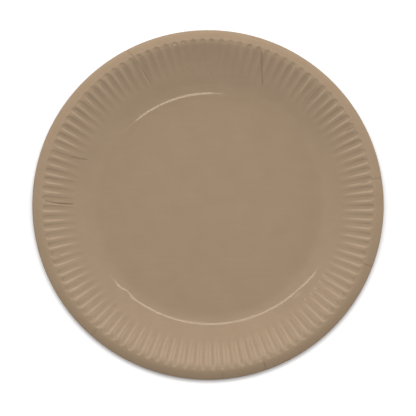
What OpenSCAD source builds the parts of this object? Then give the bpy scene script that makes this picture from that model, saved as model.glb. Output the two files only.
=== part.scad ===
// Disposable paper plate: one round blank of coated paperboard pressed to a flat well,
// a fluted wall and a lip that turns down. Origin on the table under the centre of the well.

/* [Plate] */
// Diameter over the lip
plate_d = 230; // [210:1:270]
// Height from the table to the crest of the rim
plate_h = 15; // [11:0.5:22]
// Thickness of the paperboard
board = 0.4; // [0.25:0.05:0.6]

/* [Well] */
// Diameter of the flat well
well_d = 147; // [120:1:155]
// Radius of the bend from the well into the wall
well_bend_r = 16; // [8:0.5:20]

/* [Lip] */
// Radius of the bend over the crest of the rim
lip_bend_r = 7; // [5:0.25:9]
// Angle that the lip turns down past level
lip_turn = 55; // [35:1:70]

/* [Flutes] */
// Number of flutes pressed into the wall
flute_count = 108; // [60:1:112]
// Angle from the X axis to the middle of the first flute
first_flute = -1.5; // [-3:0.5:3]
// Distance from the edge of the well to the inner end of a flute
flute_setback = 15; // [9:0.5:18]
// Distance from the outer end of a flute to the crest
flute_gap = 0.6; // [0.2:0.1:2.5]
// Width of the land left between two flutes
land_w = 1.3; // [1:0.1:2.6]
// Width of the sloping side of a flute
flank_w = 1.3; // [0.5:0.1:1.5]
// Length of the slope that closes a flute at each end
flute_end_l = 1.6; // [0.8:0.1:2.5]
// Depth of a flute at its inner end
flute_start_depth = 0.5; // [0.3:0.05:0.8]
// Depth of a flute at its outer end
flute_end_depth = 0.9; // [0.5:0.05:1.2]

/* [Hidden] */

// Steps along the bend round the well and along the turned-down lip
well_bend_steps = 3;
lip_turn_steps = 5;
// Points across a flute: its two edges and two on its floor
flute_points = 4;
// Share of a flute's width that is left at its two ends
flute_end_share = 0.6;
// A flank takes no more than this share of half the flute
flank_limit = 0.8;

well_r = well_d / 2;
// The lip's bend is centred straight under the crest
crest_r = plate_d / 2 - lip_bend_r * sin(lip_turn);
well_bend_at = [well_r, board + well_bend_r];
lip_bend_at = [crest_r, plate_h - lip_bend_r];

// The wall is the straight line that touches both bends
between_bends = lip_bend_at - well_bend_at;
bends_rise = atan2(between_bends[1], between_bends[0]);
wall_slope = bends_rise + asin((well_bend_r + lip_bend_r) / norm(between_bends));
wall_along = [cos(wall_slope), sin(wall_slope)];
wall_normal = [-sin(wall_slope), cos(wall_slope)];
wall_foot = well_bend_at - well_bend_r * wall_normal;
wall_head = lip_bend_at + lip_bend_r * wall_normal;

flute_start_r = well_r + flute_setback;
flute_end_r = crest_r - flute_gap;
pitch = 360 / flute_count;

// A row of the top skin is [place, normal, depth of the flutes, share of their width],
// with the place and the normal as [outwards, up] and a share of 0 where there are no flutes
function well_bend_row(angle) =
    [well_bend_at + well_bend_r * [cos(angle), sin(angle)], [-cos(angle), -sin(angle)], 0, 0];

function lip_bend_row(angle, depth, share) =
    [lip_bend_at + lip_bend_r * [cos(angle), sin(angle)], [cos(angle), sin(angle)], depth, share];

function wall_row(r, depth, share) =
    [wall_foot + wall_along * (r - wall_foot[0]) / wall_along[0], wall_normal, depth, share];

function lip_angle(r) = acos((r - crest_r) / lip_bend_r);

// A row across the flutes lies on the wall, or past its head on the lip's bend
function flute_row(r, depth, share) =
    r < wall_head[0] ? wall_row(r, depth, share) : lip_bend_row(lip_angle(r), depth, share);

rows = concat(
    [for (i = [0 : well_bend_steps]) well_bend_row(270 + wall_slope * i / well_bend_steps)],
    [
        flute_row(flute_start_r, 0, flute_end_share),
        flute_row(flute_start_r + flute_end_l, flute_start_depth, 1),
        flute_row(flute_end_r - flute_end_l, flute_end_depth, 1),
        flute_row(flute_end_r, 0, flute_end_share)
    ],
    flute_end_r < wall_head[0] ? [lip_bend_row(90 + wall_slope, 0, 0)] : [],
    [for (i = [0 : lip_turn_steps]) lip_bend_row(90 - lip_turn * i / lip_turn_steps, 0, 0)]
);
last_row = len(rows) - 1;
function place(i) = rows[i][0];
function normal(i) = rows[i][1];
function depth(i) = rows[i][2];
function share(i) = rows[i][3];

// Where a row has no flutes, one point for each of them keeps the circle round
function across(i) = share(i) > 0 ? flute_points : 1;
function row_points(i) = across(i) * flute_count;
row_start = [for (i = 0, from = 0; i <= last_row; from = from + row_points(i), i = i + 1) from];
skin_points = row_start[last_row] + row_points(last_row);

// The points across one flute: distance round the plate from the middle of the flute, and depth
function flute_half(r) = (2 * PI * r / flute_count - land_w) / 2;
function floor_half(r) = flute_half(r) - min(flank_w, flank_limit * flute_half(r));
function flute_section(i) =
    let (
        r = place(i)[0],
        edge = flute_half(r) * share(i),
        bed = floor_half(r) * share(i)
    )
    share(i) > 0 ? [[-edge, 0], [-bed, depth(i)], [bed, depth(i)], [edge, 0]] : [[0, 0]];

// The points of one skin, sunk into the board by the distance given
function skin(sunk) = [
    for (i = [0 : last_row], k = [0 : flute_count - 1], s = flute_section(i))
        let (
            p = place(i) - (sunk + s[1]) * normal(i),
            angle = first_flute + k * pitch + s[0] / place(i)[0] * 180 / PI
        )
        [p[0] * cos(angle), p[0] * sin(angle), p[1]]
];

// Number of point n in row i, counted round the plate
function spot(i, n) = row_start[i] + n % row_points(i);

// Triangles between row i and the next one out, from above: two for each point where both rows
// have as many points, and else a fan over each flute and two triangles across each land
function band(i) =
    across(i) == across(i + 1) ? [for (n = [0 : row_points(i) - 1]) each quad(i, n)] :
    across(i) < across(i + 1) ? [for (k = [0 : flute_count - 1]) each fan_out(i, k)] :
    [for (k = [0 : flute_count - 1]) each fan_in(i, k)];

function quad(i, n) = [
    [spot(i, n), spot(i + 1, n + 1), spot(i + 1, n)],
    [spot(i, n), spot(i, n + 1), spot(i + 1, n + 1)]
];

function flute_span(k) = [flute_points * k : flute_points * (k + 1) - 1];

function fan_out(i, k) = concat(
    [for (n = flute_span(k)) [spot(i, k), spot(i + 1, n + 1), spot(i + 1, n)]],
    [[spot(i, k), spot(i, k + 1), spot(i + 1, flute_points * (k + 1))]]
);

function fan_in(i, k) = concat(
    [for (n = flute_span(k)) [spot(i + 1, k), spot(i, n), spot(i, n + 1)]],
    [[spot(i + 1, k), spot(i, flute_points * (k + 1)), spot(i + 1, k + 1)]]
);

// The well is a fan round the middle of the plate
top_middle = 2 * skin_points;
bottom_middle = top_middle + 1;
top_faces = concat(
    [for (k = [0 : flute_count - 1]) [top_middle, spot(0, k + 1), spot(0, k)]],
    [for (i = [0 : last_row - 1]) each band(i)]
);

// The under skin has the same triangles turned over
function under(n) = n == top_middle ? bottom_middle : n + skin_points;
bottom_faces = [for (f = top_faces) [under(f[0]), under(f[2]), under(f[1])]];

edge_faces = [
    for (k = [0 : flute_count - 1])
        let (a = spot(last_row, k), b = spot(last_row, k + 1))
        each [[a, b, under(b)], [a, under(b), under(a)]]
];

module plate() {
    color("#a28b71")
        polyhedron(
            points = concat(skin(0), skin(board), [[0, 0, board], [0, 0, 0]]),
            faces = concat(top_faces, bottom_faces, edge_faces),
            convexity = 6
        );
}

plate();
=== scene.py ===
import math

import bpy
import numpy as np
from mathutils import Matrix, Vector


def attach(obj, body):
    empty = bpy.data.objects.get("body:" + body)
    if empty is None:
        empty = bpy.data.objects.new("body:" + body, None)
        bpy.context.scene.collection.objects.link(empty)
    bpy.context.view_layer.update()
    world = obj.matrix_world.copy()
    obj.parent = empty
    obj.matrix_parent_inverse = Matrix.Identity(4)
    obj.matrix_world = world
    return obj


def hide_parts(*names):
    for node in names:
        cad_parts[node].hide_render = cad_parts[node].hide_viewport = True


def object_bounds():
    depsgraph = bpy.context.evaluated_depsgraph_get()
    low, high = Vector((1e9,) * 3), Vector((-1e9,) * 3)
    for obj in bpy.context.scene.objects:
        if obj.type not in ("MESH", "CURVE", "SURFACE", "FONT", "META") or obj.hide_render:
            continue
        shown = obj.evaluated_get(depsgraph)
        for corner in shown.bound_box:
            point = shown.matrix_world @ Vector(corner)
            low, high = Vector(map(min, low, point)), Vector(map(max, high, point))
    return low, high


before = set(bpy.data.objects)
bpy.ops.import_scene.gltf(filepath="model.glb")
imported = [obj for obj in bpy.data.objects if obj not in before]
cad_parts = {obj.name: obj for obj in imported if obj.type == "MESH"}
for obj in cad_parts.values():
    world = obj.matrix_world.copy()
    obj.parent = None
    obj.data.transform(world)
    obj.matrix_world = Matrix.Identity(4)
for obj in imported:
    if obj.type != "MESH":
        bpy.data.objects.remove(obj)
cadLow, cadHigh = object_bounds()
print("frame: CAD box", [round(v, 4) for v in cadHigh - cadLow])

perMetre = 1000  # folds and dents are given in mm
fullTurn = 2 * math.pi

plateShape = {
    "radius": 0.115,  # to the cut edge of the lip
    "board": 0.0004,  # thickness of the paperboard
    "wellRadius": 0.0695,  # the flat well
    "wellBend": 0.032,  # bend from the well into the wall
    "footSlope": math.radians(24.5),  # the wall is a little steeper at its head than at its foot
    "steepest": math.radians(60),  # the slope at the head is looked for below this
    "slopeTries": 40,
    "crestBend": 0.005,  # bend from the wall up to the crest
    "lipBend": 0.011,  # wider bend from the crest down to the cut edge
    "lipTurn": math.radians(43),  # how far the lip turns down
    "fluteStart": 0.0868,  # radius at a flute's inner end
    "fluteOver": 0.0012,  # the flutes end past the crest, which leaves it scalloped
    "fluteRun": 0.004,  # length over which a flute deepens at its inner end
    "fluteRound": 0.0024,  # length of its rounded outer end
    "startDepth": 0.0002,  # of a flute near its inner end
    "endDepth": 0.00072,  # and near its outer end
    "fluteCount": 108,
    "firstFlute": math.radians(-1.5),  # turn of the first flute from the x axis
    "ridgeWidth": 0.0014,  # left between two flutes
    "floorFlatness": 4.0,  # power of the flute's section: 2 is a bell, more is flatter in the middle
    "stepsPerFlute": 12,
    "depthSpread": 0.2,  # pressing varies from flute to flute
    "sideDrift": 0.08,  # and a flute's middle lies a little to one side
    "seed": 11,
    "weldGap": 0.00001,
    "wellShift": (0.0008, -0.0006),  # the well was pressed a little off centre
    "shiftFrom": 0.079,  # radius up to which all of the shift is there
    "shiftTo": 0.097,  # and where none of it is left
    "lipOpen": 114.0,  # a fold that reaches past this radius, in mm, is open at the cut edge
    "foldTaper": 2.0,  # length in mm over which a fold runs out
    "foldPast": 1.02,  # share of its length where an open fold stops
    "foldShadeDepth": 0.6,  # depth in mm at which a fold has its full painted shade
    "wellRows": 3,
    "bendRows": 12,
    "plainRows": 2,  # wall below the flutes
    "roundRows": 5,  # each end of a flute
    "fluteRows": 14,
    "lipRows": 8,
    "underStep": 2,  # the underside keeps every second row
}

# folds pinched into the wall: from and to as radius in mm and angle in degrees, then half width and
# depth in mm, and how far the fold bows to one side; the last five are cracks in the lip
pleats = (
    {"start": (88.4, 179.8), "end": (107.8, 179.2), "half": 0.8, "depth": 0.64, "bow": 0.7},
    {"start": (87.8, 170.3), "end": (97.0, 170.3), "half": 0.65, "depth": 0.3, "bow": 0.2},
    {"start": (85.1, 159.2), "end": (96.4, 161.1), "half": 0.75, "depth": 0.38, "bow": 0.6},
    {"start": (91.1, 140.2), "end": (95.0, 140.2), "half": 0.6, "depth": 0.26, "bow": 0.0},
    {"start": (87.1, 115.3), "end": (114.6, 117.9), "half": 0.75, "depth": 0.34, "bow": -0.5},
    {"start": (85.8, 88.9), "end": (89.0, 88.9), "half": 0.6, "depth": 0.3, "bow": 0.0},
    {"start": (106.4, 89.1), "end": (109.0, 89.1), "half": 0.7, "depth": 0.3, "bow": 0.0},
    {"start": (86.5, 65.6), "end": (107.8, 71.2), "half": 0.75, "depth": 0.45, "bow": 0.3},
    {"start": (88.4, 47.0), "end": (107.6, 47.0), "half": 0.6, "depth": 0.26, "bow": 0.3},
    {"start": (101.7, 27.5), "end": (108.6, 27.5), "half": 0.9, "depth": 0.38, "bow": 0.0},
    {"start": (99.7, 7.2), "end": (107.6, 7.2), "half": 0.7, "depth": 0.34, "bow": 0.2},
    {"start": (101.7, 199.7), "end": (106.6, 199.7), "half": 0.9, "depth": 0.38, "bow": 0.0},
    {"start": (88.4, 227.0), "end": (93.1, 227.0), "half": 0.65, "depth": 0.3, "bow": 0.0},
    {"start": (108.3, -21.4), "end": (115.0, -21.4), "half": 0.55, "depth": 0.38, "bow": 0.0},
    {"start": (108.3, -70.8), "end": (115.0, -70.8), "half": 0.55, "depth": 0.38, "bow": 0.0},
    {"start": (108.6, -85.3), "end": (115.0, -85.3), "half": 0.55, "depth": 0.22, "bow": 0.0},
    {"start": (108.6, -131.0), "end": (115.0, -131.0), "half": 0.55, "depth": 0.22, "bow": 0.0},
    {"start": (107.8, 8.2), "end": (115.0, 8.2), "half": 0.55, "depth": 0.38, "bow": 0.0},
)

# shallow dents beside the well: radius in mm, angle in degrees, spread outwards and around, lift in mm
dents = (
    {"spot": (84.2, -45.5), "spread": (1.6, 4.5), "lift": 0.3},
    {"spot": (80.5, -133.0), "spread": (2.2, 3.0), "lift": 0.18},
)

# what each row of the profile carries, and the side: 0 on top, 1 underneath, between them on the edge
rowNames = ("rowRadius", "rowHeight", "rowOut", "rowUp", "fluteDepth", "fluteShare")
topSide, edgeSide, underSide = 0.0, 0.5, 1.0


def newNode(tree, kind, *values, **settings):
    # values go to the inputs in order, as links or as numbers
    node = tree.nodes.new(kind)
    for name, value in settings.items():
        setattr(node, name, value)
    for place, value in enumerate(values):
        if value is None:
            continue
        if isinstance(value, bpy.types.NodeSocket):
            tree.links.new(value, node.inputs[place])
        else:
            node.inputs[place].default_value = value
    return node


def calc(tree, operation, *values):
    return newNode(tree, "ShaderNodeMath", *values, operation=operation).outputs[0]


def eased(count):
    # shares from 0 to 1, close together at the start
    return [1 - math.cos(math.pi / 2 * i / count) for i in range(count + 1)]


def smoothed(share):
    return share * share * (3 - 2 * share)


def rounded(share):
    # a quarter circle from 0 to 1
    return math.sqrt(1 - (1 - share) ** 2)


def profileRows(shape):
    # rows of the top skin from the centre out: radius, height, normal out, normal up, depth, share
    board, wellBend = shape["board"], shape["wellBend"]
    crestBend, lipBend = shape["crestBend"], shape["lipBend"]
    height = cadHigh.z
    crest = shape["radius"] - lipBend * math.sin(shape["lipTurn"])
    wellAt = np.array([shape["wellRadius"], board + wellBend])
    crestAt = np.array([crest, height - crestBend])
    lipAt = np.array([crest, height - lipBend])
    footSlope = shape["footSlope"]
    foot = wellAt + wellBend * np.array([math.sin(footSlope), -math.cos(footSlope)])
    # the slope at the head that brings the wall up to the crest, found by halving
    low, high = 0.0, shape["steepest"]
    for attempt in range(shape["slopeTries"]):
        headSlope = (low + high) / 2
        head = crestAt + crestBend * np.array([-math.sin(headSlope), math.cos(headSlope)])
        meanRise = (math.tan(footSlope) + math.tan(headSlope)) / 2
        if foot[1] + (head[0] - foot[0]) * meanRise < head[1]:
            low = headSlope
        else:
            high = headSlope
    gain = (math.tan(headSlope) - math.tan(footSlope)) / (head[0] - foot[0])
    fluteEnd = crest + shape["fluteOver"]
    slopes = [round(math.degrees(slope), 1) for slope in (footSlope, headSlope)]
    print("plate: wall slope from", slopes[0], "to", slopes[1])

    def wallRow(radius, depth=0.0, share=0.0):
        if radius < head[0]:
            out = radius - foot[0]
            slope = math.atan(math.tan(footSlope) + gain * out)
            rise = math.tan(footSlope) * out + gain * out * out / 2
            return (radius, foot[1] + rise, -math.sin(slope), math.cos(slope), depth, share)
        center, bend = (crestAt, crestBend) if radius < crest else (lipAt, lipBend)
        turn = math.acos((radius - crest) / bend)
        normal = (math.cos(turn), math.sin(turn))
        return (radius, center[1] + bend * normal[1], *normal, depth, share)

    rows = []
    for i in range(shape["wellRows"]):
        rows.append((shape["wellRadius"] * i / shape["wellRows"], board, 0.0, 1.0, 0.0, 0.0))
    for i in range(shape["bendRows"] + 1):
        turn = footSlope * i / shape["bendRows"]
        normal = (-math.sin(turn), math.cos(turn))
        place = wellAt - wellBend * np.array(normal)
        rows.append((*place, *normal, 0.0, 0.0))
    for i in range(1, shape["plainRows"]):
        rows.append(wallRow(foot[0] + (shape["fluteStart"] - foot[0]) * i / shape["plainRows"]))
    innerEnd = shape["fluteStart"] + shape["fluteRun"]
    outerEnd = fluteEnd - shape["fluteRound"]
    for step in eased(shape["roundRows"]):
        radius = shape["fluteStart"] + shape["fluteRun"] * step
        rows.append(wallRow(radius, shape["startDepth"] * smoothed(step), rounded(step)))
    for i in range(1, shape["fluteRows"]):
        along = i / shape["fluteRows"]
        depth = shape["startDepth"] + (shape["endDepth"] - shape["startDepth"]) * along
        rows.append(wallRow(innerEnd + (outerEnd - innerEnd) * along, depth, 1.0))
    for step in reversed(eased(shape["roundRows"])):
        radius = fluteEnd - shape["fluteRound"] * step
        rows.append(wallRow(radius, shape["endDepth"] * rounded(step), rounded(step)))
    for i in range(1, shape["lipRows"] + 1):
        rows.append(wallRow(fluteEnd + (shape["radius"] - fluteEnd) * i / shape["lipRows"]))
    return rows


def buildProfile(shape):
    # a line from the centre out over the top skin, round the cut edge and back underneath
    top = profileRows(shape)
    under = top[::-1][:: shape["underStep"]]
    if under[-1] is not top[0]:
        under.append(top[0])
    rows = [(*row, topSide) for row in top]
    rows.append((*top[-1], edgeSide))
    rows += [(*row, underSide) for row in under]
    mesh = bpy.data.meshes.new("plateProfile")
    points = [(row[0], row[1], 0.0) for row in rows]
    mesh.from_pydata(points, [(i, i + 1) for i in range(len(rows) - 1)], [])
    for place, name in enumerate((*rowNames, "side")):
        values = [row[place] for row in rows]
        mesh.attributes.new(name, "FLOAT", "POINT").data.foreach_set("value", values)
    profile = bpy.data.objects.new("plateProfile", mesh)
    bpy.context.scene.collection.objects.link(profile)
    return profile


def fluteTree():
    # turns the profile round the axis and presses the flutes into it
    tree = bpy.data.node_groups.new("flutedPlate", "GeometryNodeTree")
    wanted = (
        ("Profile", "NodeSocketGeometry"),
        ("Flute Count", "NodeSocketInt"),
        ("Steps per Flute", "NodeSocketInt"),
        ("First Flute", "NodeSocketFloat"),
        ("Ridge Width", "NodeSocketFloat"),
        ("Floor Flatness", "NodeSocketFloat"),
        ("Board", "NodeSocketFloat"),
        ("Depth Spread", "NodeSocketFloat"),
        ("Side Drift", "NodeSocketFloat"),
        ("Seed", "NodeSocketInt"),
        ("Weld Gap", "NodeSocketFloat"),
        ("Paper", "NodeSocketMaterial"),
    )
    for name, kind in wanted:
        tree.interface.new_socket(name=name, in_out="INPUT", socket_type=kind)
    tree.interface.new_socket(name="Plate", in_out="OUTPUT", socket_type="NodeSocketGeometry")
    given = newNode(tree, "NodeGroupInput").outputs

    def row(name):
        return newNode(tree, "GeometryNodeInputNamedAttribute", name, data_type="FLOAT").outputs[0]

    def chance(low, high, seedShift):
        # one draw for each flute
        node = newNode(tree, "FunctionNodeRandomValue", data_type="FLOAT")
        tree.links.new(fluteNumber, node.inputs["ID"])
        tree.links.new(calc(tree, "ADD", given["Seed"], seedShift), node.inputs["Seed"])
        node.inputs[2].default_value = low
        node.inputs[3].default_value = high
        return node.outputs[1]

    around = calc(tree, "MULTIPLY", given["Flute Count"], given["Steps per Flute"])
    circle = newNode(tree, "GeometryNodeCurvePrimitiveCircle", around)
    turn = newNode(tree, "GeometryNodeSplineParameter").outputs["Factor"]
    marked = newNode(
        tree, "GeometryNodeStoreNamedAttribute", circle.outputs[0], None, "turn", turn, data_type="FLOAT"
    )
    line = newNode(tree, "GeometryNodeMeshToCurve", given["Profile"])
    swept = newNode(tree, "GeometryNodeCurveToMesh", marked.outputs[0], line.outputs[0])

    # which flute a point is in, and where across it, from -0.5 to 0.5
    angle = calc(tree, "MULTIPLY", row("turn"), fullTurn)
    pitch = calc(tree, "DIVIDE", fullTurn, given["Flute Count"])
    fromFirst = calc(tree, "SUBTRACT", angle, given["First Flute"])
    fluteTurn = calc(tree, "ADD", calc(tree, "DIVIDE", fromFirst, pitch), 0.5)
    fluteNumber = calc(tree, "FLOORED_MODULO", calc(tree, "FLOOR", fluteTurn), given["Flute Count"])
    across = calc(tree, "SUBTRACT", calc(tree, "FLOORED_MODULO", fluteTurn, 1.0), 0.5)
    # its middle moves to one side, and its ridges stay
    squared = calc(tree, "MULTIPLY", across, across)
    room = calc(tree, "SUBTRACT", 1.0, calc(tree, "MULTIPLY", squared, 4.0))
    drift = calc(tree, "MULTIPLY", chance(-1.0, 1.0, 0), given["Side Drift"])
    across = calc(tree, "ADD", across, calc(tree, "MULTIPLY", room, drift))

    # the section of the flute, 1 on its floor and 0 on the ridges
    arc = calc(tree, "MULTIPLY", pitch, row("rowRadius"))
    channel = calc(tree, "SUBTRACT", 1.0, calc(tree, "DIVIDE", given["Ridge Width"], arc))
    half = calc(tree, "MULTIPLY", calc(tree, "MULTIPLY", channel, row("fluteShare")), 0.5)
    reach = calc(tree, "MINIMUM", calc(tree, "DIVIDE", calc(tree, "ABSOLUTE", across), half), 1.0)
    section = calc(tree, "SUBTRACT", 1.0, calc(tree, "POWER", reach, given["Floor Flatness"]))
    section = calc(tree, "MULTIPLY", section, section)

    # every point is sunk along the normal of its row
    spread = calc(tree, "ADD", 1.0, calc(tree, "MULTIPLY", chance(-1.0, 1.0, 1), given["Depth Spread"]))
    pressed = calc(tree, "MULTIPLY", calc(tree, "MULTIPLY", row("fluteDepth"), spread), section)
    sunk = calc(tree, "ADD", pressed, calc(tree, "MULTIPLY", row("side"), given["Board"]))
    radius = calc(tree, "SUBTRACT", row("rowRadius"), calc(tree, "MULTIPLY", row("rowOut"), sunk))
    height = calc(tree, "SUBTRACT", row("rowHeight"), calc(tree, "MULTIPLY", row("rowUp"), sunk))
    place = newNode(
        tree,
        "ShaderNodeCombineXYZ",
        calc(tree, "MULTIPLY", radius, calc(tree, "COSINE", angle)),
        calc(tree, "MULTIPLY", radius, calc(tree, "SINE", angle)),
        height,
    )
    moved = newNode(tree, "GeometryNodeSetPosition", swept.outputs[0], None, place.outputs[0])
    closed = newNode(tree, "GeometryNodeMergeByDistance", moved.outputs[0], None, given["Weld Gap"])
    smooth = newNode(tree, "GeometryNodeSetShadeSmooth", closed.outputs[0])
    whole = newNode(tree, "GeometryNodeRealizeInstances", smooth.outputs[0])
    painted = newNode(tree, "GeometryNodeSetMaterial", whole.outputs[0], None, given["Paper"])
    newNode(tree, "NodeGroupOutput", painted.outputs[0])
    return tree


def pressIrregular(mesh, shape):
    # what the press left uneven, moved alike on the top and the underside
    count = len(mesh.vertices)
    spots = np.empty(count * 3)
    mesh.vertices.foreach_get("co", spots)
    spots = spots.reshape(count, 3)

    def stored(name):
        values = np.empty(count)
        mesh.attributes[name].data.foreach_get("value", values)
        return values

    radius, out, up = stored("rowRadius") * perMetre, stored("rowOut"), stored("rowUp")
    angle = np.arctan2(spots[:, 1], spots[:, 0])

    def around(degrees):
        # distance round the plate from a given angle, in mm
        turn = angle - math.radians(degrees)
        return radius * np.arctan2(np.sin(turn), np.cos(turn))

    lift = np.zeros(count)
    foldShade = np.zeros(count)
    for pleat in pleats:
        (innerRadius, innerAngle), (outerRadius, outerAngle) = pleat["start"], pleat["end"]
        length = outerRadius - innerRadius
        along = (radius - innerRadius) / length
        inside = np.clip(along, 0, 1)
        side = around(innerAngle) - radius * np.radians(outerAngle - innerAngle) * inside
        side = side - pleat["bow"] * np.sin(math.pi * inside)
        openEnd = outerRadius > shape["lipOpen"]
        ends = np.minimum(along, 1.0 if openEnd else 1 - along) * length
        taper = np.clip(ends / shape["foldTaper"], 0, 1) * (along <= shape["foldPast"])
        groove = np.clip(1 - np.abs(side) / pleat["half"], 0, 1) * taper
        lift -= pleat["depth"] * smoothed(groove)
        # each fold gets painted shade, darker the deeper its groove
        foldShade = np.maximum(foldShade, groove * pleat["depth"] / shape["foldShadeDepth"])
    for dent in dents:
        outwards = (radius - dent["spot"][0]) / dent["spread"][0]
        sideways = around(dent["spot"][1]) / dent["spread"][1]
        lift += dent["lift"] * np.exp(-(outwards**2) - sideways**2)

    normals = np.stack([out * np.cos(angle), out * np.sin(angle), up], axis=1)
    spots += normals * lift[:, None] / perMetre
    fadeRun = (shape["shiftTo"] - shape["shiftFrom"]) * perMetre
    fade = smoothed(np.clip((shape["shiftTo"] * perMetre - radius) / fadeRun, 0, 1))
    spots[:, :2] += fade[:, None] * np.array(shape["wellShift"])
    mesh.vertices.foreach_set("co", spots.ravel())
    # the painted shade of the folds goes to the material as a point attribute
    mesh.attributes.new("foldShade", "FLOAT", "POINT").data.foreach_set("value", np.clip(foldShade, 0, 1))
    for name in (*rowNames, "turn"):
        mesh.attributes.remove(mesh.attributes[name])
    mesh.update()


def buildPlate(shape, paper):
    profile = buildProfile(shape)
    tree = fluteTree()
    modifier = profile.modifiers.new("flutes", "NODES")
    modifier.node_group = tree
    values = {
        "Flute Count": shape["fluteCount"],
        "Steps per Flute": shape["stepsPerFlute"],
        "First Flute": shape["firstFlute"],
        "Ridge Width": shape["ridgeWidth"],
        "Floor Flatness": shape["floorFlatness"],
        "Board": shape["board"],
        "Depth Spread": shape["depthSpread"],
        "Side Drift": shape["sideDrift"],
        "Seed": shape["seed"],
        "Weld Gap": shape["weldGap"],
        "Paper": paper,
    }
    for socket in tree.interface.items_tree:
        if socket.name in values:
            modifier[socket.identifier] = values[socket.name]
    bpy.context.view_layer.update()
    evaluated = profile.evaluated_get(bpy.context.evaluated_depsgraph_get())
    mesh = bpy.data.meshes.new_from_object(evaluated)
    profile.modifiers.remove(modifier)
    bpy.data.objects.remove(profile)
    mesh.name = "paperPlate"
    pressIrregular(mesh, shape)
    plate = bpy.data.objects.new("paperPlate", mesh)
    bpy.context.scene.collection.objects.link(plate)
    return plate


paperLook = {
    "tan": (0.36, 0.259, 0.169, 1),  # coated top
    "kraft": (0.37, 0.262, 0.168, 1),  # plain underside
    "cutEdge": (0.27, 0.19, 0.12, 1),
    "fold": (0.17, 0.115, 0.07, 1),  # painted shade down in a fold
    "foldShadeStrength": 0.6,
    "underFrom": (0.75, 0.95),  # share of the way to the underside where the bare board begins
    "edgeFrom": (0.2, 0.48),  # distance from the middle of the cut edge where its colour ends
    "mottleScale": 70.0,
    "mottleDetail": 4.0,
    "mottle": 0.05,  # how much the tone varies
    "noiseSpan": (0.3, 0.7),  # most of the noise lies between these
    "fibreScale": 420.0,
    "fibreDetail": 3.0,
    "fibreStretch": (0.16, 1.0, 1.0),  # fibres run along x
    "fibreTurns": (8.0, -14.0),  # in two layers that cross, in degrees
    "fibreSpan": (0.4, 0.75),
    "fibre": 0.03,  # how much they show in the tone
    "gloss": 0.7,  # the coating's gloss is tinted like the paper
    "underGloss": 0.15,
    "glossTint": (1.0, 0.85, 0.67, 1),
    "lipDull": 1.0,  # the coating is stretched dull over the lip
    "dullFrom": (0.1078, 0.1105),
    "roughness": (0.09, 0.12),
    "underRoughness": 0.6,
    "bump": 0.06,
    "bumpHeight": 0.0001,
}


def paperFinish(look):
    paper = bpy.data.materials.new("tanPaper")
    paper.use_nodes = True
    tree = paper.node_tree
    shader = tree.nodes["Principled BSDF"]
    coords = newNode(tree, "ShaderNodeTexCoord").outputs["Object"]

    def noise(vector, scale, detail):
        node = newNode(tree, "ShaderNodeTexNoise", vector)
        node.inputs["Scale"].default_value = scale
        node.inputs["Detail"].default_value = detail
        return node.outputs["Fac"]

    def scaled(value, low, high, span=look["noiseSpan"]):
        return newNode(tree, "ShaderNodeMapRange", value, *span, low, high).outputs[0]

    def blend(share, first, second):
        # the node's colour sockets come after those for numbers and vectors
        node = newNode(tree, "ShaderNodeMix", data_type="RGBA")
        for place, value in ((0, share), (6, first), (7, second)):
            if isinstance(value, bpy.types.NodeSocket):
                tree.links.new(value, node.inputs[place])
            else:
                node.inputs[place].default_value = value
        return node.outputs[2]

    def shaded(color, factor):
        return newNode(tree, "ShaderNodeVectorMath", color, factor, operation="MULTIPLY").outputs[0]

    mottle = noise(coords, look["mottleScale"], look["mottleDetail"])
    fibres = None
    for turn in look["fibreTurns"]:
        turned = (0.0, 0.0, math.radians(turn))
        lined = newNode(tree, "ShaderNodeMapping", coords, None, turned, look["fibreStretch"])
        layer = noise(lined.outputs[0], look["fibreScale"], look["fibreDetail"])
        fibres = layer if fibres is None else calc(tree, "MAXIMUM", fibres, layer)

    side = newNode(tree, "ShaderNodeAttribute", attribute_name="side").outputs["Fac"]
    # painted shade of the folds, as stored on the mesh
    foldShade = newNode(tree, "ShaderNodeAttribute", attribute_name="foldShade").outputs["Fac"]
    under = scaled(side, 0.0, 1.0, look["underFrom"])
    fromEdge = calc(tree, "ABSOLUTE", calc(tree, "SUBTRACT", side, edgeSide))
    edge = scaled(fromEdge, 1.0, 0.0, look["edgeFrom"])
    fold = calc(tree, "MULTIPLY", foldShade, look["foldShadeStrength"])

    color = blend(under, look["tan"], look["kraft"])
    color = blend(edge, color, look["cutEdge"])
    tone = scaled(mottle, 1 - look["mottle"] / 2, 1 + look["mottle"] / 2)
    grain = scaled(fibres, 1 - look["fibre"] / 2, 1 + look["fibre"] / 2, look["fibreSpan"])
    color = shaded(color, calc(tree, "MULTIPLY", tone, grain))
    # painted shade: the folds are darkened towards a dark brown
    color = blend(fold, color, look["fold"])
    tree.links.new(color, shader.inputs["Base Color"])

    # the coating is gone underneath, on the edge and in the folds, and dull on the lip
    flat = newNode(tree, "ShaderNodeVectorMath", coords, (1, 1, 0), operation="MULTIPLY").outputs[0]
    away = newNode(tree, "ShaderNodeVectorMath", flat, operation="LENGTH").outputs["Value"]
    lip = scaled(away, 0.0, look["lipDull"], look["dullFrom"])
    bare = calc(tree, "MAXIMUM", calc(tree, "MAXIMUM", under, edge), calc(tree, "MAXIMUM", fold, lip))
    polish = scaled(mottle, *look["roughness"])
    rough = scaled(bare, polish, look["underRoughness"], (0.0, 1.0))
    tree.links.new(rough, shader.inputs["Roughness"])
    gloss = scaled(bare, look["gloss"], look["underGloss"], (0.0, 1.0))
    tree.links.new(gloss, shader.inputs["Specular IOR Level"])
    shader.inputs["Specular Tint"].default_value = look["glossTint"]
    bump = newNode(tree, "ShaderNodeBump", look["bump"], look["bumpHeight"])
    tree.links.new(fibres, bump.inputs["Height"])
    tree.links.new(bump.outputs[0], shader.inputs["Normal"])
    return paper


plate = buildPlate(plateShape, paperFinish(paperLook))
plate.data.calc_loop_triangles()
print("plate:", len(plate.data.loop_triangles), "triangles")

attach(plate, "root")
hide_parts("plate")

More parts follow.
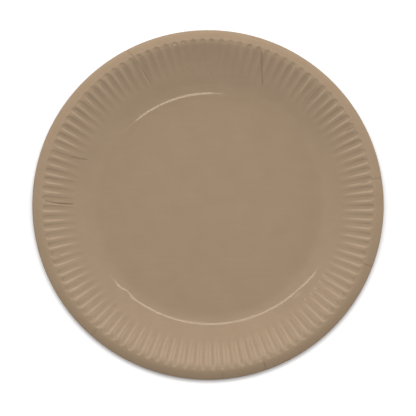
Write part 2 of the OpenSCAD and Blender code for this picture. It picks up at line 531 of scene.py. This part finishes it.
studio = {
    "floorDrop": 0.0002,  # just under the plate
    "floorSize": 8.0,
    "floorWhite": 0.9,
    "floorGlow": 0.36,  # what the camera sees on top of the floor's own light
    "glowFront": 0.34,  # more of it at the front, where the shadow falls
    "glowRing": (0.1145, 0.1185),  # distances over which the glow sets in round the rim
    "frontSky": 0.53,
    "backSky": 0.42,
    "skyFrom": (0.0, 0.6),  # how far to the back the one turns into the other
    "overhead": 0.5,  # the sky is dimmer straight above, where the camera hangs
    "overheadRing": (24, 8),  # degrees from the zenith between which it dims
    "ring": 1.5,  # bright ring low round the tent, which the sides of the flutes mirror
    "ringFront": 0.1,
    "ringFrom": (-0.5, 0.6),  # how far to the back it rises from the one to the other
    "ringBack": 0.82,  # share of it that is left right at the back
    "backFrom": (0.3, 1.0),
    "ringHigh": (60, 54),  # degrees from the zenith over which the ring fades upwards
    "ringLow": (89, 80),  # and over which all light fades down to the horizon
    "horizon": 0.05,
    "poleGuard": 1.001,  # a little over 1, so that nothing is divided by 0 at the zenith
}


def buildFloor(look):
    bpy.ops.mesh.primitive_plane_add(size=look["floorSize"], location=(0, 0, -look["floorDrop"]))
    floor = bpy.context.object
    floor.name = "paleFloor"
    white = bpy.data.materials.new("floorWhite")
    white.use_nodes = True
    tree = white.node_tree
    shader = tree.nodes["Principled BSDF"]
    shader.inputs["Base Color"].default_value = (look["floorWhite"],) * 3 + (1,)
    shader.inputs["Roughness"].default_value = 1.0
    shader.inputs["Specular IOR Level"].default_value = 0.0
    shader.inputs["Emission Color"].default_value = (1, 1, 1, 1)
    # the glow whitens the floor for the camera, and leaves the shadow along the rim
    coords = newNode(tree, "ShaderNodeTexCoord").outputs["Object"]
    away = newNode(tree, "ShaderNodeVectorMath", coords, operation="LENGTH").outputs["Value"]
    forward = calc(tree, "DIVIDE", newNode(tree, "ShaderNodeSeparateXYZ", coords).outputs["Y"], away)
    forward = calc(tree, "MAXIMUM", calc(tree, "MULTIPLY", forward, -1.0), 0.0)
    level = calc(tree, "ADD", calc(tree, "MULTIPLY", forward, look["glowFront"]), look["floorGlow"])
    ring = newNode(tree, "ShaderNodeMapRange", away, *look["glowRing"], 0.0, 1.0)
    ring.interpolation_type = "SMOOTHSTEP"
    camera = newNode(tree, "ShaderNodeLightPath").outputs["Is Camera Ray"]
    glow = calc(tree, "MULTIPLY", calc(tree, "MULTIPLY", level, ring.outputs[0]), camera)
    tree.links.new(glow, shader.inputs["Emission Strength"])
    floor.data.materials.append(white)


def buildWorld(look):
    # a tent: a soft sky that is dim overhead, and a bright ring low round the sides and the back
    world = bpy.data.worlds.new("studioTent")
    bpy.context.scene.world = world
    world.use_nodes = True
    tree = world.node_tree
    background = tree.nodes["Background"]
    background.inputs["Color"].default_value = (1, 1, 1, 1)
    coords = newNode(tree, "ShaderNodeTexCoord").outputs["Generated"]
    toward = newNode(tree, "ShaderNodeSeparateXYZ", coords).outputs

    def ramp(value, span, low, high, kind="SMOOTHSTEP"):
        node = newNode(tree, "ShaderNodeMapRange", value, *span, low, high)
        node.interpolation_type = kind
        return node.outputs[0]

    def byHeight(zeniths, low, high):
        return ramp(toward["Z"], [math.cos(math.radians(zenith)) for zenith in zeniths], low, high)

    # how far a direction points to the back, seen from above
    square = calc(tree, "MULTIPLY", toward["Z"], toward["Z"])
    level = calc(tree, "SQRT", calc(tree, "SUBTRACT", look["poleGuard"], square))
    aim = calc(tree, "DIVIDE", toward["Y"], level)

    ring = ramp(aim, look["ringFrom"], look["ringFront"], look["ring"], "LINEAR")
    ring = calc(tree, "MULTIPLY", ring, ramp(aim, look["backFrom"], 1.0, look["ringBack"]))
    ring = calc(tree, "MULTIPLY", ring, byHeight(look["ringHigh"], 1.0, 0.0))
    sky = ramp(toward["Y"], look["skyFrom"], look["frontSky"], look["backSky"])
    sky = calc(tree, "MULTIPLY", sky, byHeight(look["overheadRing"], 1.0, look["overhead"]))
    low = byHeight(look["ringLow"], look["horizon"], 1.0)
    light = calc(tree, "MULTIPLY", calc(tree, "ADD", ring, sky), low)
    # the camera sees plain white
    camera = newNode(tree, "ShaderNodeLightPath").outputs["Is Camera Ray"]
    unseen = calc(tree, "SUBTRACT", 1.0, camera)
    shown = calc(tree, "ADD", calc(tree, "MULTIPLY", light, unseen), camera)
    tree.links.new(shown, background.inputs["Strength"])


# degrees from the zenith and round from the x axis that a lamp shines from, its distance, its width
# and height, a shift to the side, its strength, and whether it shows in the gloss
lamps = (
    {
        "name": "backFill",
        "zenith": 38,
        "azimuth": 90,
        "distance": 1.2,
        "size": (1.2, 0.3),
        "shift": 0.0,
        "watts": 5.1,
        "gloss": False,
    },
    {
        "name": "backStrip",  # its mirror image is the bright line along the edge of the well
        "zenith": 31,
        "azimuth": 82,
        "distance": 1.4,
        "size": (1.6, 0.08),
        "shift": -0.33,
        "watts": 1.6,
        "gloss": True,
    },
    {
        "name": "topLamp",
        "zenith": 8.4,
        "azimuth": -60.7,
        "distance": 1.6,
        "size": (0.3, 0.08),
        "shift": 0.0,
        "watts": 0.45,
        "gloss": True,
    },
)


def buildLamps(wanted):
    for lamp in wanted:
        light = bpy.data.lights.new(lamp["name"], "AREA")
        light.shape = "RECTANGLE"
        light.size, light.size_y = lamp["size"]
        light.energy = lamp["watts"]
        holder = bpy.data.objects.new(lamp["name"], light)
        bpy.context.scene.collection.objects.link(holder)
        zenith, azimuth = math.radians(lamp["zenith"]), math.radians(lamp["azimuth"])
        outward = math.sin(zenith)
        aim = Vector((outward * math.cos(azimuth), outward * math.sin(azimuth), math.cos(zenith)))
        holder.location = aim * lamp["distance"] + Vector((lamp["shift"], 0, 0))
        holder.rotation_euler = aim.to_track_quat("Z", "Y").to_euler()
        holder.visible_glossy = lamp["gloss"]
        holder.visible_camera = False


cameraSetup = {
    "tilt": math.radians(5.5),  # from straight above, towards the front
    "distance": 1.25,
    "lens": 165.3,
    "sensor": 36,
    "aim": (0.0, -0.003, 0.012),
}


def buildCamera(setup):
    data = bpy.data.cameras.new("photoCamera")
    data.lens = setup["lens"]
    data.sensor_width = setup["sensor"]
    camera = bpy.data.objects.new("photoCamera", data)
    bpy.context.scene.collection.objects.link(camera)
    back = Vector((0, -math.sin(setup["tilt"]), math.cos(setup["tilt"])))
    camera.location = Vector(setup["aim"]) + back * setup["distance"]
    camera.rotation_euler = (setup["tilt"], 0, 0)
    bpy.context.scene.camera = camera


buildFloor(studio)
buildWorld(studio)
buildLamps(lamps)
buildCamera(cameraSetup)
bpy.context.scene.view_settings.view_transform = "Standard"
print("studio: floor, tent,", len(lamps), "lamps and the camera")
